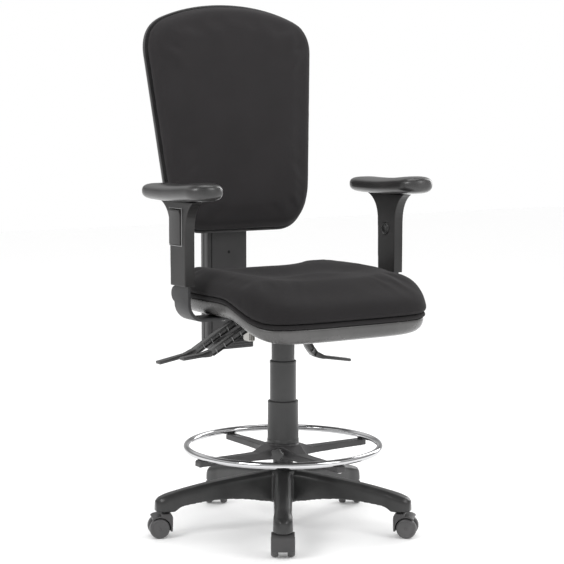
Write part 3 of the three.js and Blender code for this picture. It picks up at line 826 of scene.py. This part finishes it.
# --------------------------------------------------
# Seat cushion: moulded foam under a charcoal woven cover, dished for sitting, with firmer sides
# and a rounded front. The cover is sewn to a narrow border band that tucks into the seat pan.
# --------------------------------------------------
def woven(name, dark, light, thread=0.0011):
    """Matt upholstery cloth: a plain weave on the piece's own map, flecked and slightly fuzzy."""
    paint, tree, shader = node_paint(name)
    place = add(tree, "ShaderNodeUVMap", uv_map="weave")
    wobble = add(tree, "ShaderNodeTexNoise", {"Scale": 260})
    link(tree, place, "UV", wobble, "Vector")
    split = add(tree, "ShaderNodeSeparateXYZ")
    link(tree, place, "UV", split, "Vector")
    waves = []
    for axis in ("X", "Y"):
        turns_node = add(tree, "ShaderNodeMath", {1: math.pi / thread}, operation="MULTIPLY_ADD")
        link(tree, split, axis, turns_node, 0)
        link(tree, wobble, "Fac", turns_node, 2)
        wave = add(tree, "ShaderNodeMath", operation="SINE")
        link(tree, turns_node, "Value", wave, 0)
        waves.append(wave)
    cross = add(tree, "ShaderNodeMath", operation="MULTIPLY")
    link(tree, waves[0], "Value", cross, 0)
    link(tree, waves[1], "Value", cross, 1)
    lift = add(tree, "ShaderNodeMapRange", {"From Min": -1})
    link(tree, cross, "Value", lift, "Value")
    fleck = add(tree, "ShaderNodeTexNoise", {"Scale": 420, "Detail": 3})
    link(tree, place, "UV", fleck, "Vector")
    cloud = add(tree, "ShaderNodeTexNoise", {"Scale": 9, "Detail": 4})
    link(tree, place, "UV", cloud, "Vector")
    blend_in = add(tree, "ShaderNodeMath", {1: 0.55}, operation="MULTIPLY_ADD")
    link(tree, lift, "Result", blend_in, 0)
    part = add(tree, "ShaderNodeMath", {1: 0.45}, operation="MULTIPLY")
    link(tree, fleck, "Fac", part, 0)
    link(tree, part, "Value", blend_in, 2)
    tone = ramp(tree, (0.2, dark), (0.85, light))
    link(tree, blend_in, "Value", tone, "Fac")
    shade = add(tree, "ShaderNodeMapRange", {"To Min": 0.8, "To Max": 1.15})
    link(tree, cloud, "Fac", shade, "Value")
    mottled = add(tree, "ShaderNodeVectorMath", operation="SCALE")
    link(tree, tone, "Color", mottled, "Vector")
    link(tree, shade, "Result", mottled, "Scale")
    link(tree, mottled, "Vector", shader, "Base Color")
    shader.inputs["Roughness"].default_value = 0.92
    shader.inputs["Specular IOR Level"].default_value = 0.12
    shader.inputs["Sheen Weight"].default_value = 0.06
    shader.inputs["Sheen Roughness"].default_value = 0.6
    shader.inputs["Sheen Tint"].default_value = (0.8, 0.78, 0.79, 1)
    roughen(tree, blend_in, "Value", shader, 0.5, 0.0003)
    return paint


def cut_cloth(mesh, scale=1.0):
    """Lays the weave on a mesh as cut panels: from above, from the front or from the side."""
    layer = mesh.uv_layers.new(name="weave")
    for face in mesh.polygons:
        size = [abs(v) for v in face.normal]
        size[1] *= 1.15
        u, v = {0: (1, 2), 1: (0, 2), 2: (0, 1)}[size.index(max(size))]
        for k in face.loop_indices:
            spot = mesh.vertices[mesh.loops[k].vertex_index].co
            layer.data[k].uv = (spot[u] * scale, spot[v] * scale)


def spots_of(mesh):
    spots = np.empty(len(mesh.vertices) * 3)
    mesh.vertices.foreach_get("co", spots)
    return spots.reshape(-1, 3)


def stuffed(mesh, held, reach):
    """Lets pressure swell a cushion as cloth over foam. held says how far a point is sewn down."""
    piece = placed("stuffing", mesh)
    remesh = piece.modifiers.new("even", "REMESH")
    remesh.mode = "VOXEL"
    remesh.voxel_size = 0.006
    even = baked(piece)
    start = spots_of(even)
    piece = placed("stuffing", even)
    sewn = piece.vertex_groups.new(name="sewn")
    for i, spot in enumerate(start):
        sewn.add([i], held(spot), "REPLACE")
    swell = piece.modifiers.new("swell", "CLOTH")
    swell.settings.vertex_group_mass = "sewn"
    swell.settings.use_pressure = True
    swell.settings.uniform_pressure_force = 4
    swell.settings.effector_weights.gravity = 0
    swell.settings.quality = 5
    swell.point_cache.frame_start = 1
    swell.point_cache.frame_end = 20
    for step in range(1, 21):
        bpy.context.scene.frame_set(step)
    puffed = baked(piece)
    bpy.context.scene.frame_set(1)
    shift = spots_of(puffed) - start
    far = np.linalg.norm(shift, axis=1, keepdims=True)
    shift *= np.minimum(1, reach / np.maximum(far, 1e-9))
    puffed.vertices.foreach_set("co", (start + shift).ravel())
    piece = placed("stuffing", puffed)
    settle = piece.modifiers.new("settle", "SMOOTH")
    settle.factor = 0.5
    settle.iterations = 6
    finer = piece.modifiers.new("finer", "SUBSURF")
    finer.levels = finer.render_levels = 1
    return baked(piece)


def thread_stitch(group, into):
    """One short bead of thread, drawn out along the seam."""
    bead = add(group, "GeometryNodeMeshUVSphere", {"Segments": 8, "Rings": 6})
    link(group, into, "Thread radius", bead, "Radius")
    long = add(group, "GeometryNodeTransform")
    link(group, bead, "Mesh", long, "Geometry")
    link(group, into, "Stitch shape", long, "Scale")
    return long, "Geometry"


stitches = scatter_group(
    "thread_stitches", (("Thread radius", "Float"), ("Stitch shape", "Vector")), thread_stitch, "X"
)
thread = woven("seam_thread", (0.004, 0.004, 0.004), (0.012, 0.012, 0.012), 0.0004)


def sewn_seam(name, loop, body, slot, pitch=0.0042):
    """Evenly spaced stitches along a closed line of points."""
    spots, runs, carried = [], [], 0.0
    for here, there in zip(loop, loop[1:] + loop[:1]):
        run = there - here
        while carried < run.length:
            spots.append(here + run.normalized() * carried)
            runs.append(run.normalized())
            carried += pitch
        carried -= run.length
    piece = spread(
        name, stitches, spots, runs, thread, body, slot,
        **{"Thread radius": 0.0004, "Stitch shape": (4.0, 1.0, 1.0)},
    )
    cut_cloth(piece.data)
    return piece


# The same cloth as the backrest's, made darker: painted shade that offsets the stronger light
# falling on the seat's top.
shaded_seat_cloth = woven("shaded_seat_cloth", (0.0078, 0.0073, 0.0076), (0.0245, 0.0229, 0.0238))
band_high = 11.5


def seat_crown(y):
    return 641 - 34 * smoothstep(-y, 200, 330)


def seat_height(share):
    """The cover's height: firm sides, a bowl to sit in and a low rise at the front."""
    inner = smoothstep(share, 0.7, 0.9)

    def height(x, y):
        rise = 13 * math.exp(-(x / 96) ** 2 - ((y + 158) / 40) ** 2)
        bowl = 14 * math.exp(-(x / 112) ** 2 - ((y - 5) / 92) ** 2)
        side = 9 * math.exp(-((abs(x) - 190) / 46) ** 2) * smoothstep(y, -190, -60)
        foam = inner * (rise - bowl) + smoothstep(share, 0.5, 0.95) * side
        return (seat_rim(y) + band_high) * (1 - share) + seat_crown(y) * share + foam

    return height


seat_profile = smooth_steps([
    (150, 0.02), (30, 0.01), (12, -0.01), (6.5, 0.02), (3, 0.09), (0.6, 0.22), (0, 0.38),
    (2.2, 0.55), (8.5, 0.74), (19, 0.865), (34, 0.93), (54, 0.968), (76, 0.99), (93, 0.995),
    (105, 0.972), (122, 0.93), (150, 0.885), (200, 0.86), (235, 0.855), (250, 0.855),
], 4)
seat_rings = [seat_ring(inset, seat_height(share)) for inset, share in seat_profile]
seat_top = to_mesh(skinned(
    seat_rings, Vector((0, seat_mid + cy, 599)) / 1000,
    Vector((0, seat_mid + cy, seat_height(0.855)(0, seat_mid))) / 1000,
))
seat_top = stuffed(
    seat_top,
    lambda p: 1.0 if p[2] * 1000 < seat_rim(p[1] * 1000 - cy) + band_high + 12 else 0.0, 0.005
)
cut_cloth(seat_top)
seat_cushion = remade("seat_cushion", seat_top, shaded_seat_cloth, 60)

band_rings = [
    seat_ring(inset, lambda x, y, lift=lift: seat_rim(y) + lift)
    for inset, lift in smooth_steps([
        (40, -7), (17, -6), (13.5, -2), (10, 0.6), (6.4, 2.2), (4.3, 5.2), (4.4, 8), (6.4, 10.4),
        (9, 10.9), (14, 10.4), (40, 10),
    ], 3)
]
band = to_mesh(skinned(
    band_rings, Vector((0, seat_mid + cy, 581)) / 1000, Vector((0, seat_mid + cy, 598)) / 1000
))
cut_cloth(band)
seat_band = finish_mesh("seat_band", band, shaded_seat_cloth, "seat", slot_of["seat_cushion"], 60)
sewn_seam(
    "seat_seam_thread",
    seat_ring(6.6, lambda x, y: seat_rim(y) + band_high - 0.6), "seat", slot_of["seat_cushion"],
)

# --------------------------------------------------
# Backrest: a tall moulded-foam cushion in the same cloth on a black polypropylene shell. The
# shell is carried by a ratchet housing that climbs a flat plastic-clad steel upright.
# --------------------------------------------------
back_low, back_top = -138, 444
back_lean = Matrix.Rotation(math.radians(-7), 4, "X")
back_place = Matrix.Translation((0, (215 + cy) / 1000, 0.860)) @ back_lean


def bend(a, b, c, steps):
    return arc(Vector(a), Vector(b), Vector(c), steps)[:-1]


def back_outline(inset):
    """Half of the backrest's outline, mirrored: narrow at the waist and wide at the shoulders."""
    low, high = back_low + inset, back_top - inset
    half = bend((0, low), (56, low), (112, low), 10)
    half += bend((112, low), (196 - inset, low), (214 - inset, back_low + 112), 24)
    half += bend((214 - inset, -26), (230 - inset, 143), (246 - inset, 312), 30)
    half += bend((246 - inset, 312), (252 - inset, 385 - inset), (190, 410 - inset), 22)
    half += bend((190, 410 - inset), (104, high), (0, high), 26)
    half.append(Vector((0, high)))
    return half + [Vector((-p.x, p.y)) for p in reversed(half[1:-1])]


def back_ring(inset, y, shrink=1.0):
    middle = Vector((0, (back_low + back_top) / 2))
    return [
        back_place @ (Vector((
            (p.x - middle.x) * shrink, y(p.y) if callable(y) else y,
            middle.y + (p.y - middle.y) * shrink,
        )) / 1000)
        for p in back_outline(inset)
    ]


def back_pole(y):
    return back_place @ (Vector((0, y, (back_low + back_top) / 2)) / 1000)


back_cloth = woven("back_cloth", (0.011, 0.0102, 0.0106), (0.035, 0.0325, 0.034))
back_profile = smooth_steps([
    (60, 0), (18, -0.3), (13, -1.2), (10.5, -4), (9.2, -9), (9, -15), (9.6, -22), (12, -29.5),
    (17, -36.5), (24.5, -41.5), (34, -44.6),
], 4)
back_rings = [back_ring(inset, y) for inset, y in back_profile]
back_rings += [back_ring(34, -44.6 - 5.0 * (1 - s ** 2), s) for s in np.linspace(0.96, 0.04, 24)]
back_front = to_mesh(skinned(back_rings, back_pole(0), back_pole(-49.6)))
into_back = back_place.inverted()
back_front = stuffed(
    back_front, lambda p: 1.0 if (into_back @ Vector(p)).y > -0.018 else 0.0, 0.005
)
cut_cloth(back_front)
back_cushion = remade("back_cushion", back_front, back_cloth, 60)
# Its edges are lightened: a painted highlight along the shell's rim.
back_plastic = moulded(
    "back_plastic", (0.040, 0.039, 0.040), (0.056, 0.055, 0.056), 0.36, grain=1000, edge_glint=0.6
)
shell_profile = smooth_steps([
    (60, 1.2), (14, 0.9), (8, 0.2), (5, -0.4), (3.6, 0.3), (2.8, 2.2), (3.6, 7), (6.5, 13.2),
    (11, 18.2), (17, 22), (26, 24), (60, 24),
], 4)
back_shell = to_mesh(skinned(
    [back_ring(inset, y) for inset, y in shell_profile], back_pole(1.2), back_pole(24)
))
remade("back_shell", back_shell, back_plastic, 60)
sewn_seam(
    "back_seam_thread", back_ring(8.4, -6.0), "back", slot_of["back_cushion"]
)

remade("back_bracket", softened("back_bracket", 1.2, 3), powder_black)
upright_plastic = moulded(
    "upright_plastic", (0.026, 0.026, 0.026), (0.040, 0.039, 0.040), 0.33, grain=900, edge_glint=0.5
)
upright_half, upright_front, upright_rear = 60, 264, 298
plan = rounded([
    (-upright_half, upright_front), (upright_half, upright_front), (upright_half, upright_rear),
    (-upright_half, upright_rear),
], 5, 5)
groove_front = [(-49, 264), (-48.4, 265.8), (-45.6, 265.8), (-45, 264)]
groove_side = [(-60, 283), (-58.4, 282.4), (-58.4, 279.6), (-60, 279)]
plan = plan[:6] + groove_front + plan[6:] + groove_side
tall = bmesh.new()
levels = [(420, 0.0), (421.2, 1.0), (898.8, 1.0), (900, 0.0)]
rows = []
for z, full in levels:
    rows.append([
        tall.verts.new((
            (x - (1 - full) * math.copysign(1.2, x)) / 1000,
            (y - (1 - full) * math.copysign(1.2, y - 281) + cy) / 1000, z / 1000,
        ))
        for x, y in plan
    ])
for low, high in zip(rows, rows[1:]):
    for i in range(len(plan)):
        j = (i + 1) % len(plan)
        tall.faces.new((low[i], low[j], high[j], high[i]))
tall.faces.new(rows[0])
tall.faces.new(reversed(rows[-1]))
foot = block((0.120, 0.036, 0.021), (0, (250 + cy) / 1000, 0.4305))
remade(
    "back_upright", united(to_mesh(tall), eased(foot, 3, 4)), upright_plastic, 40
)
spread(
    "upright_foot_ribs", ribs,
    [Vector((0, (231.6 + cy) / 1000, z)) for z in (0.4245, 0.4305, 0.4365)], [(1, 0, 0)] * 3,
    upright_plastic, "back_frame", slot_of["back_upright"], **{"Rib size": (0.112, 0.0024, 0.0022)},
)
# A near-black low dome at the upright's screw hole: painted shade standing in for the dark inside
# of the hole.
spread(
    "upright_hole_shade", screws, [Vector((0.005, (264.2 + cy) / 1000, 0.668))], [(0, -1, 0)],
    moulded("hole_shade_black", (0.001, 0.001, 0.001), (0.003, 0.003, 0.003), 0.6, edge_glint=0.0),
    "back_frame", slot_of["back_upright"], **{"Head radius": 0.0042, "Head height": 0.0007},
)
carriage = cast(plain_copy("back_height_carriage"), 0.0025, 5)
remade("back_height_carriage", carriage, back_plastic, 60)
spread(
    "carriage_screws", screws,
    [Vector((x, 0.3072 + column.y, z)) for x in (-0.045, 0.045) for z in (0.764, 0.870)],
    [(0, 1, 0)] * 4, screw_steel, "back", "zinc_plate",
    **{"Head radius": 0.0048, "Head height": 0.0024},
)

# --------------------------------------------------
# Armrests: soft black polyurethane pads on nylon sleeves that slide on flat steel posts. A
# rocker trigger outside frees the height lock, with a round button on the inner face.
# --------------------------------------------------
def soft_skin(name, dark, light):
    """Self-skinned polyurethane foam: smooth, slightly waxy, with a faint leather grain."""
    paint = moulded(name, dark, light, 0.36, grain=650, depth=0.12, edge_glint=0.1)
    shader = paint.node_tree.nodes["Principled BSDF"]
    shader.inputs["Coat Weight"].default_value = 0.6
    shader.inputs["Coat Roughness"].default_value = 0.3
    return paint


pad_skin = soft_skin("pad_skin", (0.020, 0.0195, 0.0195), (0.034, 0.0325, 0.033))
arm_nylon = moulded(
    "arm_nylon", (0.014, 0.0135, 0.0135), (0.022, 0.021, 0.021), 0.36, grain=1000, edge_glint=0.5
)
# Strongly lightened edges: a painted highlight round the trigger frame and the button.
trigger_nylon = moulded(
    "trigger_nylon", (0.010, 0.010, 0.010), (0.016, 0.016, 0.016),
    0.2, grain=1200, edge_glint=0.9, glint_lift=0.2
)


def armrest_pad(hand):
    """Oval sections along the pad that dip behind the thick front end and sink to the rear."""
    length, half_x = 280, 46
    rings = []
    for t in [0.5 - 0.5 * math.cos(math.pi * k / 80) for k in range(81)]:
        near_end = max(1 - min(t, 1 - t) * length / half_x, 0)
        taper = max(1 - near_end ** 2.3, 0) ** (1 / 2.3)
        wide = max(half_x * taper, 2)
        tall = (22 - 2 * t) * max(taper, 0.02) ** 0.55
        middle = 848 - 5 * t + 2 * math.cos(2 * math.pi * (t - 0.08))
        ring = []
        for k in range(72):
            a = 2 * math.pi * k / 72
            c, s = math.cos(a), math.sin(a)
            out = math.copysign(abs(c) ** 0.72, c)
            up = math.copysign(abs(s) ** 0.78, s) * tall
            dip = 1.5 * (1 - out * out) * smoothstep(t, 0.15, 0.4) * (s > 0)
            z = max(middle + up - dip, 824.6 + 2.5 * (1 - taper))
            ring.append(Vector((hand * (302 + out * wide), -171 + t * length + cy, z)) / 1000)
        rings.append(ring)
    ends = [sum(ring, Vector()) / len(ring) for ring in (rings[0], rings[-1])]
    return to_mesh(skinned(rings, ends[0], ends[1]))


def freed(mesh, outward, gap=0.0005, depth=0.86):
    """Leaves running clearance round a pressed piece, with its outer face where it was."""
    spots = np.array([v.co for v in mesh.vertices])
    low, high = spots.min(0), spots.max(0)
    middle, half = (low + high) / 2, (high - low) / 2
    outer = high[0] if outward > 0 else low[0]
    for v in mesh.vertices:
        v.co.x = outer + (v.co.x - outer) * depth
        v.co.y = middle[1] + (v.co.y - middle[1]) * (1 - gap / half[1])
        v.co.z = middle[2] + (v.co.z - middle[2]) * (1 - gap / half[2])
    return mesh


def trigger_rim(side, hand):
    """The raised frame of the sleeve round its trigger."""
    low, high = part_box(f"arm_{side}_trigger")
    face = max(abs(corner[0]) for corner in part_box(f"arm_{side}_sleeve"))
    wall = 0.0022
    clear = Vector((0, 0.0012, 0.0012))
    low, high = Vector(low) - clear, Vector(high) + clear
    sides = [
        (low[1] - wall, low[1], low[2] - wall, high[2] + wall),
        (high[1], high[1] + wall, low[2] - wall, high[2] + wall),
        (low[1], high[1], low[2] - wall, low[2]), (low[1], high[1], high[2], high[2] + wall),
    ]
    made = []
    x0, x1 = face - 0.001, face + 0.0014
    for y0, y1, z0, z1 in sides:
        middle = (hand * (x0 + x1) / 2, (y0 + y1) / 2, (z0 + z1) / 2)
        made.append(eased(block((x1 - x0, y1 - y0, z1 - z0), middle), 0.6, 3))
    return united(*made)


for side, hand in (("left", 1), ("right", -1)):
    finish_mesh(
        f"arm_{side}_trigger_rim", trigger_rim(side, hand), trigger_nylon,
        body_of[f"arm_{side}_sleeve"], slot_of[f"arm_{side}_sleeve"],
    )
    pad = remade(f"arm_{side}_pad", armrest_pad(hand), pad_skin, 60)
    remade(f"arm_{side}_post", softened(f"arm_{side}_post", 1.6, 3), powder_black)
    remade(f"arm_{side}_sleeve", cast(plain_copy(f"arm_{side}_sleeve"), 0.0012, 5), arm_nylon, 60)
    trigger = freed(softened(f"arm_{side}_trigger", 1.2, 3), hand)
    remade(f"arm_{side}_trigger", trigger, arm_nylon)
    button = freed(softened(f"arm_{side}_button", 0.6, 2), -hand)
    remade(f"arm_{side}_button", button, trigger_nylon)
    spread(
        f"arm_{side}_bolts", screws,
        [Vector((hand * 0.200, (y + cy) / 1000, 0.5404)) for y in (-48, -16)],
        [(0, 0, -1)] * 2, screw_steel, "seat", "zinc_plate",
        **{"Head radius": 0.0065, "Head height": 0.0034},
    )
